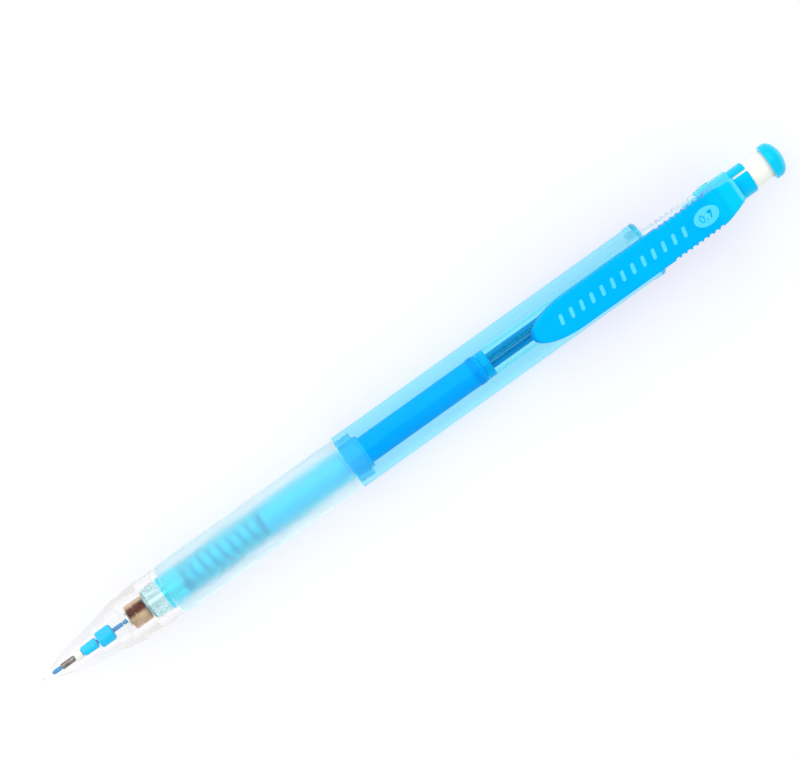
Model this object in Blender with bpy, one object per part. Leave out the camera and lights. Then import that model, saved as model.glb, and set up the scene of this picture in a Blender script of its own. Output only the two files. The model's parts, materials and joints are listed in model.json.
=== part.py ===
"""A clear mechanical pencil for 0.7 mm colour leads, lying on its side with the clip on top.

The pencil's axis runs along X, with the tip at -X and the cap at +X. The barrel's lowest facet lies on z = 0.
Stations are distances from the tip along the axis and radii are distances from it, both in millimetres.
"""

import math

import bmesh
import bpy
from mathutils import Matrix, Vector

MM = 0.001

# Driving dimensions, in millimetres.
LENGTH = 142.0
LEAD_R = 0.35
LEAD_LENGTH = 60.0
LEAD_IN_USE = 48.0  # what is left of the lead that is being written with
BARREL_R = 4.7
BARREL_WALL = 0.7
GRIP_R = 4.4
CORE_R = 2.85
CORE_WALL = 0.45
PIPE_R = 2.3
PIPE_BORE = 1.5
PIPE_NECK_R = 1.95
NECK_R = 2.95
CROWN_R = 3.25
BUTTON_R = 2.66
ERASER_R = 2.3
CAP_R = 3.02
FIT = 0.1  # clearance between neighbours, on the radius or end to end

# Stations where the main pieces meet.
NOSE_REAR = 23.95
GRIP_FRONT = 24.1
GRIP_REAR = 58.45
BARREL_FRONT = 58.55
BARREL_REAR = 116.7
NECK_REAR = 126.9
CROWN_REAR = 133.0
BUTTON_REAR = 135.9
CAP_FRONT = 139.3

THREAD_PITCH = 0.8
THREAD_DEPTH = 0.25
THREAD_FRONT = 20.5
THREAD_REAR = 23.1

ROUND = 24  # facets round the outer pieces
SMALL_ROUND = 16  # facets round the inner pieces
WIRE_ROUND = 12  # facets round the leads and the lead's sleeve
AXIS_Z = BARREL_R * math.cos(math.pi / ROUND)  # height of the axis over the barrel's lowest facet

SLOTS = {
    # name: (colour, roughness, metallic, transmission)
    "clear_plastic": ((0.95, 0.97, 0.98), 0.05, 0.0, 1.0),
    "tinted_plastic": ((0.45, 0.85, 0.98), 0.05, 0.0, 1.0),
    "core_plastic": ((0.15, 0.70, 0.95), 0.10, 0.0, 0.6),
    "grip_rubber": ((0.88, 0.96, 0.98), 0.55, 0.0, 0.9),
    "clip_plastic": ((0.00, 0.50, 0.92), 0.25, 0.0, 0.0),
    "tube_plastic": ((0.00, 0.38, 0.95), 0.25, 0.0, 0.0),
    "retainer_rubber": ((0.00, 0.50, 0.95), 0.60, 0.0, 0.0),
    "bush_plastic": ((0.95, 0.93, 0.84), 0.50, 0.0, 0.0),
    "eraser_rubber": ((0.95, 0.94, 0.86), 0.70, 0.0, 0.0),
    "lead_blue": ((0.02, 0.22, 0.55), 0.60, 0.0, 0.0),
    "brass": ((0.55, 0.36, 0.16), 0.30, 1.0, 0.0),
    "steel": ((0.35, 0.33, 0.32), 0.30, 1.0, 0.0),
}


def clear_scene():
    for obj in list(bpy.data.objects):
        bpy.data.objects.remove(obj)


def slot_material(slot):
    """The material of that name, made the first time it is asked for."""
    if slot in bpy.data.materials:
        return bpy.data.materials[slot]
    colour, roughness, metallic, transmission = SLOTS[slot]
    material = bpy.data.materials.new(slot)
    material.use_nodes = True
    shader = material.node_tree.nodes["Principled BSDF"]
    shader.inputs["Base Color"].default_value = (*colour, 1.0)
    shader.inputs["Roughness"].default_value = roughness
    shader.inputs["Metallic"].default_value = metallic
    shader.inputs["Transmission Weight"].default_value = transmission
    return material


def place(station, y=0.0, z=0.0):
    """The point at a station, y and z away from the pencil's axis, in metres."""
    return Vector(((station - LENGTH / 2) * MM, y * MM, (AXIS_Z + z) * MM))


def radial(angle):
    """The unit direction away from the axis, turned by angle about +X from straight up."""
    return Vector((0.0, -math.sin(angle), math.cos(angle)))


def add_piece(name, shape, slot, origin, crease=30.0):
    """Makes an object of a bmesh drawn round its origin, which is a point in metres."""
    bmesh.ops.remove_doubles(shape, verts=shape.verts[:], dist=1e-6)
    bmesh.ops.recalc_face_normals(shape, faces=shape.faces[:])
    mesh = bpy.data.meshes.new(name)
    shape.to_mesh(mesh)
    shape.free()
    mesh.shade_smooth()
    mesh.set_sharp_from_angle(angle=math.radians(crease))
    mesh.materials.append(slot_material(slot))
    piece = bpy.data.objects.new(name, mesh)
    piece.location = origin
    bpy.context.collection.objects.link(piece)
    return piece


def draw_turned(outline, origin, facets, sweep=2 * math.pi, middle=0.0):
    """A bmesh of an outline of (station, radius) spun about the axis, round the station that is its origin.

    The outline is closed unless it starts and ends on the axis. A full turn has a facet facing straight down.
    A part turn is centred on the angle middle, and its two cut faces are filled.
    """
    shape = bmesh.new()
    full = sweep > 2 * math.pi - 1e-6
    points = [shape.verts.new(((s - origin) * MM, 0.0, r * MM)) for s, r in outline]
    pairs = list(zip(points, points[1:]))
    if all(r > 0 for _, r in outline):
        pairs.append((points[-1], points[0]))
    edges = [shape.edges.new(pair) for pair in pairs]
    start = math.pi / facets if full else middle - sweep / 2
    turn = Matrix.Rotation(start, 3, "X")
    bmesh.ops.rotate(shape, verts=points, cent=(0, 0, 0), matrix=turn)
    bmesh.ops.spin(
        shape, geom=points + edges, axis=(1, 0, 0), cent=(0, 0, 0), angle=sweep, steps=facets, use_merge=full
    )
    bmesh.ops.remove_doubles(shape, verts=shape.verts[:], dist=1e-6)
    if not full:
        rims = [edge for edge in shape.edges if edge.is_boundary]
        bmesh.ops.holes_fill(shape, edges=rims, sides=0)
    return shape


def turned(name, outline, slot, facets=ROUND):
    """A solid of revolution on the pencil's axis, with its origin there at the outline's first station."""
    origin = outline[0][0]
    return add_piece(name, draw_turned(outline, origin, facets), slot, place(origin))


def cut_thread(shape, origin, root):
    """Raises a helical ridge on the vertices of a turned shape that lie between the thread's ends."""
    for vert in shape.verts:
        station = vert.co.x / MM + origin
        radius = math.hypot(vert.co.y, vert.co.z) / MM
        if not (THREAD_FRONT - 0.01 < station < THREAD_REAR + 0.01 and radius > root - 0.01):
            continue
        phase = (station / THREAD_PITCH - math.atan2(vert.co.z, vert.co.y) / (2 * math.pi)) % 1.0
        raised = 1 + THREAD_DEPTH * (1 - abs(2 * phase - 1)) / radius
        vert.co.y *= raised
        vert.co.z *= raised


def quarter_round(centre_s, centre_r, along, across, steps):
    """Points on a quarter of an ellipse, from straight out from its centre to straight along the axis."""
    angles = [math.pi / 2 * k / steps for k in range(steps + 1)]
    return [(centre_s + along * math.sin(a), centre_r + across * math.cos(a)) for a in angles]


# ---- the nose and what it holds ----


def make_nose_cone():
    """Clear screw-on nose. Its bore steps down from the thread to the lead's hole."""
    outside = [
        (0.0, 0.62),
        (1.9, 0.88),
        (3.6, 1.50),
        (5.2, 2.00),
        (9.6, 2.86),
        (13.0, 3.45),
        (15.4, 4.00),
        (17.7, 4.42),
        (19.9, 4.55),
        (22.3, 4.42),
        (NOSE_REAR, 4.25),
    ]
    thread_bore = CORE_R + 2 * FIT
    bore = [
        (NOSE_REAR, thread_bore),
        (20.0, thread_bore),
        (20.0, 2.25),
        (15.7, 2.25),
        (15.7, 1.95),
        (13.55, 1.85),
        (13.55, 1.50),
        (10.45, 1.50),
        (10.45, 1.00),
        (6.05, 1.00),
        (6.05, 0.60),
        (3.5, 0.60),
        (3.5, 0.42),
        (0.0, 0.42),
    ]
    return turned("nose_cone", outside + bore, "clear_plastic")


def make_lead_sleeve():
    outline = [(3.6, 0.40), (3.6, 0.50), (5.95, 0.50), (5.95, 0.40)]
    return turned("lead_sleeve", outline, "steel", WIRE_ROUND)


def make_sleeve_bush():
    outline = [(6.15, 0.42), (6.15, 0.85), (7.4, 0.85), (7.4, 0.42)]
    return turned("sleeve_bush", outline, "bush_plastic", SMALL_ROUND)


def make_retainer_cone():
    outline = [(7.5, 0.42), (7.5, 0.62), (7.9, 0.82), (9.9, 0.90), (10.35, 0.82), (10.35, 0.42)]
    return turned("retainer_cone", outline, "retainer_rubber", SMALL_ROUND)


def make_lead_retainer():
    outline = [(10.6, 0.42), (10.6, 1.20), (10.8, 1.38), (13.2, 1.38), (13.4, 1.20), (13.4, 0.42)]
    return turned("lead_retainer", outline, "retainer_rubber", SMALL_ROUND)


# ---- the chuck and the plunger ----

RING_BORE = 1.25
STEM_FRONT = 28.0
STEM_R = 1.2
STEM_BORE = 0.5
SPRING_FRONT = 26.6
SPRING_REAR = 42.4
SPRING_TURNS = 8
SPRING_R = 1.85
SPRING_WIRE_R = 0.22
JAW_COUNT = 3
JAW_SLIT = math.radians(14)
JAW_REAR = STEM_FRONT - FIT
COUPLER_FRONT = 58.6
COUPLER_REAR = 84.4
PIPE_STEP = 112.0
PIPE_REAR = 132.2
SPARE_FRONT = 71.5
SPARE_COUNT = 5
SPARE_SPREAD = math.radians(46)


def make_clutch_ring():
    outline = [
        (16.8, 1.50),
        (16.8, 1.95),
        (16.95, 2.08),
        (19.75, 2.08),
        (19.9, 1.95),
        (19.9, RING_BORE),
        (17.1, RING_BORE),
    ]
    return turned("clutch_ring", outline, "brass")


def make_ring_seat():
    outline = [(20.02, 1.35), (20.02, 2.40), (20.30, 2.40), (20.30, 1.35)]
    return turned("ring_seat", outline, "steel")


def make_chuck_jaws():
    """Three jaws round the lead. Each has a flared head, and its origin is where it hinges on the stem."""
    outline = [
        (16.3, 0.38),
        (16.3, 1.15),
        (16.45, 1.30),
        (16.75, 1.20),
        (17.6, 1.00),
        (18.5, 0.85),
        (JAW_REAR, 0.85),
        (JAW_REAR, 0.38),
    ]
    jaws = []
    for k in range(JAW_COUNT):
        middle = 2 * math.pi * k / JAW_COUNT
        shape = draw_turned(outline, JAW_REAR, 4, 2 * math.pi / JAW_COUNT - JAW_SLIT, middle)
        pivot = radial(middle) * 0.6 * MM
        bmesh.ops.translate(shape, verts=shape.verts[:], vec=-pivot)
        jaws.append(add_piece(f"chuck_jaw_{k + 1}", shape, "brass", place(JAW_REAR) + pivot))
    return jaws


def make_chuck_stem():
    """Tube from the jaws to the coupler, with the spring's rear seat as a collar."""
    outline = [
        (STEM_FRONT, STEM_BORE),
        (STEM_FRONT, STEM_R),
        (SPRING_REAR + FIT, STEM_R),
        (SPRING_REAR + FIT, 2.15),
        (43.7, 2.15),
        (43.7, 1.90),
        (COUPLER_FRONT - FIT, 1.90),
        (COUPLER_FRONT - FIT, 1.55),
        (61.5, 1.55),
        (61.5, 1.30),
        (60.3, STEM_BORE),
    ]
    return turned("chuck_stem", outline, "core_plastic", SMALL_ROUND)


def make_main_spring():
    """Coil spring round the stem, as a bevelled curve."""
    steps = 10 * SPRING_TURNS
    front = SPRING_FRONT + SPRING_WIRE_R + 0.05
    rear = SPRING_REAR - SPRING_WIRE_R - 0.05
    curve = bpy.data.curves.new("main_spring", "CURVE")
    curve.dimensions = "3D"
    curve.bevel_depth = SPRING_WIRE_R * MM
    curve.bevel_resolution = 1
    curve.use_fill_caps = True
    spline = curve.splines.new("POLY")
    spline.points.add(steps)
    for k, point in enumerate(spline.points):
        out = radial(2 * math.pi * SPRING_TURNS * k / steps) * SPRING_R * MM
        point.co = (*(out + Vector(((rear - front) * MM * k / steps, 0.0, 0.0))), 1.0)
    curve.materials.append(slot_material("steel"))
    spring = bpy.data.objects.new("main_spring", curve)
    spring.location = place(front)
    bpy.context.collection.objects.link(spring)
    return spring


def make_pipe_coupler():
    """Blue tube that joins the stem to the lead pipe, with a low rib near its rear end."""
    outline = [
        (COUPLER_FRONT, 1.65),
        (COUPLER_FRONT, PIPE_R),
        (82.8, PIPE_R),
        (82.8, PIPE_R + 0.12),
        (83.9, PIPE_R + 0.12),
        (83.9, PIPE_R),
        (COUPLER_REAR, PIPE_R),
        (COUPLER_REAR, 1.90),
        (80.6, 1.90),
        (80.6, PIPE_BORE),
        (61.7, PIPE_BORE),
        (61.7, 1.65),
    ]
    return turned("pipe_coupler", outline, "tube_plastic", SMALL_ROUND)


def make_lead_pipe():
    outline = [
        (80.7, PIPE_BORE),
        (80.7, 1.80),
        (COUPLER_REAR + FIT, 1.80),
        (COUPLER_REAR + FIT, PIPE_R),
        (PIPE_STEP, PIPE_R),
        (PIPE_STEP, PIPE_NECK_R),
        (PIPE_REAR, PIPE_NECK_R),
        (PIPE_REAR, PIPE_BORE),
    ]
    return turned("lead_pipe", outline, "clear_plastic", SMALL_ROUND)


def make_leads():
    """The lead in use, and the spare ones lying in the pipe's bore."""
    lead = [(1.7, 0.0), (1.7, LEAD_R), (1.7 + LEAD_IN_USE, LEAD_R), (1.7 + LEAD_IN_USE, 0.0)]
    turned("lead", lead, "lead_blue", WIRE_ROUND)
    spare = [(SPARE_FRONT, 0.0), (SPARE_FRONT, LEAD_R)]
    spare += [(SPARE_FRONT + LEAD_LENGTH, LEAD_R), (SPARE_FRONT + LEAD_LENGTH, 0.0)]
    lay = PIPE_BORE - LEAD_R - 0.14
    for k in range(SPARE_COUNT):
        angle = math.pi + SPARE_SPREAD * (k - (SPARE_COUNT - 1) / 2)
        rod = turned(f"spare_lead_{k + 1}", spare, "lead_blue", WIRE_ROUND)
        rod.location += radial(angle) * lay * MM


# ---- the grip and the barrel ----


def make_grip_core():
    """Tube under the grip, with the nose's thread in front and a ledge for the spring inside."""
    root = CORE_R - THREAD_DEPTH
    bore = CORE_R - CORE_WALL
    rings = round((THREAD_REAR - THREAD_FRONT) / THREAD_PITCH * 4)
    thread = [
        (THREAD_FRONT + (THREAD_REAR - THREAD_FRONT) * k / rings, root) for k in range(rings + 1)
    ]
    outline = [(20.4, 1.30), (20.4, root - 0.1), *thread]
    outline += [(23.2, CORE_R + 0.05), (24.9, CORE_R + 0.05), (24.9, CORE_R), (62.0, CORE_R)]
    outline += [(62.0, bore), (26.5, bore), (26.5, 1.30)]
    origin = outline[0][0]
    shape = draw_turned(outline, origin, ROUND)
    cut_thread(shape, origin, root)
    return add_piece("grip_core", shape, "core_plastic", place(origin))


def make_grip():
    bore = CORE_R + 0.05 + FIT
    outline = [
        (GRIP_FRONT, bore),
        (GRIP_FRONT, GRIP_R - 0.2),
        (GRIP_FRONT + 0.5, GRIP_R),
        (GRIP_REAR - 0.3, GRIP_R),
        (GRIP_REAR, GRIP_R - 0.1),
        (GRIP_REAR, bore),
    ]
    return turned("grip", outline, "grip_rubber")


def make_joint_collar():
    inside = BARREL_R - BARREL_WALL - FIT
    front = BARREL_FRONT + FIT
    outline = [(front, CORE_R + FIT), (front, inside), (61.3, inside), (61.3, CORE_R + FIT)]
    return turned("joint_collar", outline, "core_plastic")


def make_barrel():
    """Long tube with an end wall and a low bead at its rear, flattened underneath so that it lies on a facet."""
    inside = BARREL_R - BARREL_WALL
    bead = BARREL_R + 0.15
    outline = [
        (BARREL_FRONT, inside),
        (BARREL_FRONT, BARREL_R),
        (114.4, BARREL_R),
        (115.0, bead),
        (116.2, bead),
        (BARREL_REAR, BARREL_R - 0.1),
        (BARREL_REAR, NECK_R + FIT),
        (115.85, NECK_R + FIT),
        (115.85, inside),
    ]
    shape = draw_turned(outline, BARREL_FRONT, ROUND)
    for vert in shape.verts:
        vert.co.z = max(vert.co.z, -AXIS_Z * MM)
    return add_piece("barrel", shape, "tinted_plastic", place(BARREL_FRONT))


# ---- the rear end ----

NECK_BORE = PIPE_NECK_R + FIT
RIB_COUNT = 7
RIB_PITCH = 1.05
RIB_START = 119.0
CLIP_FRONT = 93.25
CLIP_REAR = 133.0
CLIP_HALF_WIDTH = 3.05
CLIP_TOP = 6.7
CLIP_UNDER = 5.3
CLIP_FOOT = 3.45
CLIP_EDGE = 0.35
CLIP_PIN = (132.6, CLIP_FOOT)
NOTCH_COUNT = 9
NOTCH_START = 118.9
NOTCH_PITCH = 1.06
NOTCH_DEPTH = 0.22
SLIT_WIDTH = 0.5
SLIT_FRONT = 133.5
SLIT_ANGLE = math.radians(-38)


def make_neck():
    """Ribbed sleeve behind the barrel, held by a flange inside the barrel's end wall."""
    flange = BARREL_R - BARREL_WALL - FIT
    outline = [(114.4, NECK_BORE), (114.4, flange), (115.75, flange), (115.75, NECK_R)]
    for k in range(RIB_COUNT):
        start = RIB_START + RIB_PITCH * k
        outline += [(start, NECK_R), (start + 0.2, NECK_R - 0.2)]
        outline += [(start + 0.5, NECK_R - 0.2), (start + 0.7, NECK_R)]
    outline += [(NECK_REAR, NECK_R), (NECK_REAR, 2.5), (124.1, 2.5), (124.1, NECK_BORE)]
    return turned("neck", outline, "clear_plastic")


def make_crown():
    """Ring that closes the neck, with a spigot in it, and guides the knock button."""
    front = NECK_REAR + FIT
    guide = BUTTON_R + FIT
    outline = [
        (124.2, NECK_BORE),
        (124.2, 2.4),
        (front, 2.4),
        (front, CROWN_R - 0.2),
        (127.6, CROWN_R - 0.2),
        (128.5, CROWN_R),
        (129.6, CROWN_R),
        (130.3, 3.02),
        (CROWN_REAR, 3.02),
        (CROWN_REAR, guide),
        (127.9, guide),
        (127.9, NECK_BORE),
    ]
    return turned("crown", outline, "tinted_plastic")


def clip_half_width(station):
    """Half the clip's width: a rounded front, straight sides and a gentle taper to the rear."""
    front_round = 8.0
    ahead = (CLIP_FRONT - 0.15 + front_round - station) / front_round
    if ahead > 0:
        return CLIP_HALF_WIDTH * math.sqrt(1 - ahead**2)
    behind = max(0.0, (station - 126.0) / (CLIP_REAR - 126.0))
    return CLIP_HALF_WIDTH * (1 - 0.36 * behind**2)


def clip_section(station, under, top, notch=0.0):
    """The clip's cross-section at a station, anticlockwise seen from the tip."""
    half = clip_half_width(station) - notch
    edge = min(CLIP_EDGE, half / 2)
    shoulder = top - CLIP_EDGE
    corners = [(-half, under), (half, under), (half, shoulder), (half - edge, top)]
    corners += [(0.0, top + 0.1), (edge - half, top), (-half, shoulder)]
    return [place(station, y, z) - place(*clip_pin()) for y, z in corners]


def clip_pin():
    """The line about which the clip flexes, as (station, y, z): the rear of its foot."""
    station, height = CLIP_PIN
    return station, 0.0, height


def make_clip():
    """Boat-shaped clip with a grip ridge under its tip, notched edges and a foot on the crown."""
    ridge = BARREL_R + 0.12
    sections = [clip_section(CLIP_FRONT, CLIP_UNDER + 0.1, 6.0)]
    sections += [clip_section(CLIP_FRONT + 0.5, CLIP_UNDER, 6.3)]
    sections += [clip_section(94.6, CLIP_UNDER, 6.6)]
    sections += [clip_section(s, ridge, CLIP_TOP) for s in (95.2, 96.2)]
    sections += [clip_section(s, CLIP_UNDER, CLIP_TOP) for s in (96.8, 98.5, 101.3, 110.0)]
    for k in range(NOTCH_COUNT):
        middle = NOTCH_START + NOTCH_PITCH * k
        for shift, depth in ((-0.3, 0.0), (-0.15, NOTCH_DEPTH), (0.15, NOTCH_DEPTH), (0.3, 0.0)):
            under = CLIP_UNDER if middle + shift < NECK_REAR else CLIP_FOOT
            sections.append(clip_section(middle + shift, under, CLIP_TOP, depth))
    sections += [clip_section(128.2, CLIP_FOOT, CLIP_TOP), clip_section(129.0, CLIP_FOOT, 6.45)]
    sections += [clip_section(131.0, CLIP_FOOT, 5.55), clip_section(CLIP_REAR, CLIP_FOOT, 4.55)]
    shape = bmesh.new()
    rings = [[shape.verts.new(point) for point in section] for section in sections]
    for ring, following in zip(rings, rings[1:]):
        for k in range(len(ring)):
            after = (k + 1) % len(ring)
            shape.faces.new((ring[k], ring[after], following[after], following[k]))
    shape.faces.new(rings[0])
    shape.faces.new(rings[-1])
    return add_piece("clip", shape, "clip_plastic", place(*clip_pin()))


def make_knock_button():
    """Collet button: a guide ring on the pipe's end, and two slits so that its rear grips the eraser."""
    seat = 132.5
    bore = ERASER_R + 0.08
    outline = [
        (131.0, NECK_BORE),
        (131.0, BUTTON_R - 0.1),
        (131.2, BUTTON_R),
        (BUTTON_REAR - 0.2, BUTTON_R),
        (BUTTON_REAR, BUTTON_R - 0.12),
        (BUTTON_REAR, bore),
        (seat, bore),
        (seat, NECK_BORE),
    ]
    button = turned("knock_button", outline, "clip_plastic")
    length = BUTTON_REAR + 1.0 - SLIT_FRONT
    shape = bmesh.new()
    bmesh.ops.create_cube(shape, size=MM)
    bmesh.ops.scale(shape, vec=(length, SLIT_WIDTH, 4 * BUTTON_R), verts=shape.verts[:])
    cutter = add_piece("slit_cutter", shape, "clip_plastic", place(SLIT_FRONT + length / 2))
    cutter.rotation_euler.x = SLIT_ANGLE
    cutter.hide_render = True
    cutter.display_type = "WIRE"
    slit = button.modifiers.new("slits", "BOOLEAN")
    slit.operation = "DIFFERENCE"
    slit.object = cutter
    return button


def make_eraser():
    outline = [(132.6, 0.0), (132.6, ERASER_R - 0.15), (132.75, ERASER_R)]
    outline += [(140.05, ERASER_R), (140.2, ERASER_R - 0.15), (140.2, 0.0)]
    return turned("eraser", outline, "eraser_rubber")


def make_eraser_cap():
    """Domed cap with a socket for the eraser's end."""
    socket_end = 140.3
    socket = ERASER_R + FIT
    outline = [(socket_end, 0.0), (socket_end, socket), (CAP_FRONT, socket), (CAP_FRONT, CAP_R - 0.15)]
    outline += [(CAP_FRONT + 0.2, CAP_R)]
    outline += quarter_round(140.2, 0.0, LENGTH - 140.2, CAP_R, 6)[:-1]
    outline += [(LENGTH, 0.0)]
    return turned("eraser_cap", outline, "clip_plastic")


def main():
    clear_scene()
    make_nose_cone()
    make_lead_sleeve()
    make_sleeve_bush()
    make_retainer_cone()
    make_lead_retainer()
    make_clutch_ring()
    make_ring_seat()
    make_chuck_jaws()
    make_chuck_stem()
    make_main_spring()
    make_pipe_coupler()
    make_lead_pipe()
    make_leads()
    make_grip_core()
    make_grip()
    make_joint_collar()
    make_barrel()
    make_neck()
    make_crown()
    make_clip()
    make_knock_button()
    make_eraser()
    make_eraser_cap()


main()
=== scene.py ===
"""Looks for a clear mechanical pencil for colour leads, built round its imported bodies.

Stations are distances from the pencil's tip along its axis and radii are distances from that axis, both in
millimetres. Angles go round the axis from straight up, by the right-hand rule about +X.
"""

import json
import math

import bmesh
import bpy
from mathutils import Matrix, Vector


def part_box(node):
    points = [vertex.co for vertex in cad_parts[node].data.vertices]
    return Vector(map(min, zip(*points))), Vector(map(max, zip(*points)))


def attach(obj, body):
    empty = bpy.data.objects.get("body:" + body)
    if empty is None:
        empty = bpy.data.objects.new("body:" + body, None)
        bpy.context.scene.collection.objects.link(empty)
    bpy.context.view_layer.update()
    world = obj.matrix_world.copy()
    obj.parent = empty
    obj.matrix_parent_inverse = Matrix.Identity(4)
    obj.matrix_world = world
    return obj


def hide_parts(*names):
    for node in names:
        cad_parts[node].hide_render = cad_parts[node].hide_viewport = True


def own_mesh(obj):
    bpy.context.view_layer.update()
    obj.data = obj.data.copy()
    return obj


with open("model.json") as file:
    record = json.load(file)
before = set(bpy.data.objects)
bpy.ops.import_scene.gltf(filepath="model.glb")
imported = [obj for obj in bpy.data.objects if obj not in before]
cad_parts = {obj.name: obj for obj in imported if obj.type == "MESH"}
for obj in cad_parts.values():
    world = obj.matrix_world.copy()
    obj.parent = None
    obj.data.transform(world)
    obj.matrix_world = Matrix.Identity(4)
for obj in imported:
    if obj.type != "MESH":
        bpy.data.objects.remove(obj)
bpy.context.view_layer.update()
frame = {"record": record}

MM = 0.001
ROUND = 128  # facets round the outer pieces
SMALL_ROUND = 64  # facets round the inner pieces
EDGE = 0.08  # how far a moulded edge is rounded off
FIT = 0.1  # clearance between neighbours
SEAM = 0.01  # gap between the two pieces that stand for one CAD node
CREASE = 38.0  # degrees between faces that look sharp
TINY = 1e-6  # what rounding errors may come to

TIP_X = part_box("nose_cone")[0].x
AXIS_Z = (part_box("eraser")[0].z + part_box("eraser")[1].z) / 2
BODY_OF = {node: body for body, nodes in frame["record"]["behaviour"]["bodies"].items() for node in nodes}


# ---- placing and shaping ----


def ends(node):
    """The stations of a CAD node's front and rear."""
    low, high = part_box(node)
    return (low.x - TIP_X) / MM, (high.x - TIP_X) / MM


def place(station, y=0.0, z=0.0):
    """The point at a station, y and z millimetres away from the axis."""
    return Vector((TIP_X + station * MM, y * MM, AXIS_Z + z * MM))


def around(station, radius, angle):
    return place(station, -radius * math.sin(angle), radius * math.cos(angle))


def eased(x):
    """0 below 0, 1 above 1 and a smooth rise between."""
    x = min(1.0, max(0.0, x))
    return x * x * (3 - 2 * x)


def steps_between(start, stop, step):
    """Evenly spaced values from start to stop, at most step apart."""
    count = max(1, math.ceil((stop - start) / step - TINY))
    return [start + (stop - start) * k / count for k in range(count + 1)]


def curve_through(knots, x):
    """The value at x of a smooth curve through (x, value) knots, which doesn't overshoot them."""
    if x <= knots[0][0]:
        return knots[0][1]
    if x >= knots[-1][0]:
        return knots[-1][1]
    slopes = [(b[1] - a[1]) / (b[0] - a[0]) for a, b in zip(knots, knots[1:])]
    k = max(i for i, knot in enumerate(knots[:-1]) if knot[0] <= x)

    def tangent(i):
        before, after = slopes[max(i - 1, 0)], slopes[min(i, len(slopes) - 1)]
        return 2 * before * after / (before + after) if before * after > 0 else 0.0

    (x0, y0), (x1, y1) = knots[k], knots[k + 1]
    width, t = x1 - x0, (x - x0) / (x1 - x0)
    rise = eased(t)
    start_pull, end_pull = t * (1 - t) ** 2, -t * t * (1 - t)
    return y0 * (1 - rise) + y1 * rise + width * (tangent(k) * start_pull + tangent(k + 1) * end_pull)


def softened(outline, radius=EDGE, steps=3):
    """A closed outline with its corners rounded off. Points on the axis stay where they are."""
    made = []
    for k, (s, r) in enumerate(outline):
        corner = Vector((s, r))
        before, after = Vector(outline[k - 1]) - corner, Vector(outline[(k + 1) % len(outline)]) - corner
        nearly_straight = before.normalized().dot(after.normalized()) < -0.97
        if r == 0 or nearly_straight:
            made.append((s, r))
            continue
        cut = min(radius, 0.4 * before.length, 0.4 * after.length)
        first, last = corner + before.normalized() * cut, corner + after.normalized() * cut
        for j in range(steps + 1):
            t = j / steps
            made.append(tuple(first * (1 - t) ** 2 + corner * 2 * t * (1 - t) + last * t * t))
    return made


def circle(steps):
    """The angles of evenly spaced points round a circle."""
    return [2 * math.pi * k / steps for k in range(steps)]


def lathe(outline, facets=ROUND, relief=None):
    """A closed outline of (station, radius) turned about the axis. It may start and end on the axis.

    relief(station, radius, angle) gives a new radius, for threads and flutes.
    """
    shape = bmesh.new()
    rings = []
    for s, r in outline:
        if r == 0:
            rings.append([shape.verts.new(place(s))])
            continue
        places = [around(s, relief(s, r, angle) if relief else r, angle) for angle in circle(facets)]
        rings.append([shape.verts.new(point) for point in places])
    pairs = list(zip(rings, rings[1:]))
    if all(len(ring) > 1 for ring in rings):
        pairs.append((rings[-1], rings[0]))
    for one, two in pairs:
        for k in range(facets):
            j = (k + 1) % facets
            corners = [one[k % len(one)], one[j % len(one)], two[j % len(two)], two[k % len(two)]]
            unique = list(dict.fromkeys(corners))
            if len(unique) > 2:
                shape.faces.new(unique)
    return shape


def loft(sections):
    """A solid through cross-sections with the same number of points, closed by its first and last one."""
    shape = bmesh.new()
    rings = [[shape.verts.new(point) for point in section] for section in sections]
    for one, two in zip(rings, rings[1:]):
        for k in range(len(one)):
            j = (k + 1) % len(one)
            shape.faces.new((one[k], one[j], two[j], two[k]))
    shape.faces.new(rings[0])
    shape.faces.new(rings[-1])
    return shape


def add_piece(name, shape, material, *nodes, crease=CREASE):
    """Makes a piece that stands for these CAD nodes and rides on their body."""
    bmesh.ops.recalc_face_normals(shape, faces=shape.faces[:])
    mesh = bpy.data.meshes.new(name)
    shape.to_mesh(mesh)
    shape.free()
    mesh.shade_smooth()
    mesh.set_sharp_from_angle(angle=math.radians(crease))
    mesh.materials.append(material)
    piece = bpy.data.objects.new(name, mesh)
    bpy.context.scene.collection.objects.link(piece)
    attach(piece, BODY_OF[nodes[0]])
    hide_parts(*nodes)
    return piece


# ---- materials ----

WHITE = (1.0, 1.0, 1.0)
BLUE_SHEEN = (0.05, 0.6, 1.0)
BLUE_SHADE = (0.97, 0.99, 1.0)


def start_material(name, slot):
    """A new material that remembers its slot, with its node tree and shader."""
    material = bpy.data.materials.new(name)
    material.use_nodes = True
    material["slot"] = slot
    return material, material.node_tree, material.node_tree.nodes["Principled BSDF"]


def noise(tree, size, stretch=(1, 1, 1), detail=3.0, roughness=0.55):
    """A noise with features of about size millimetres, stretched along the axes."""
    nodes, links = tree.nodes, tree.links
    where = nodes.new("ShaderNodeTexCoord")
    scaled = nodes.new("ShaderNodeVectorMath")
    scaled.operation = "MULTIPLY"
    scaled.inputs[1].default_value = [1 / (size * MM * k) for k in stretch]
    texture = nodes.new("ShaderNodeTexNoise")
    texture.inputs["Scale"].default_value = 1.0
    texture.inputs["Detail"].default_value = detail
    texture.inputs["Roughness"].default_value = roughness
    links.new(where.outputs["Object"], scaled.inputs[0])
    links.new(scaled.outputs[0], texture.inputs["Vector"])
    return texture.outputs["Fac"]


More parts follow.
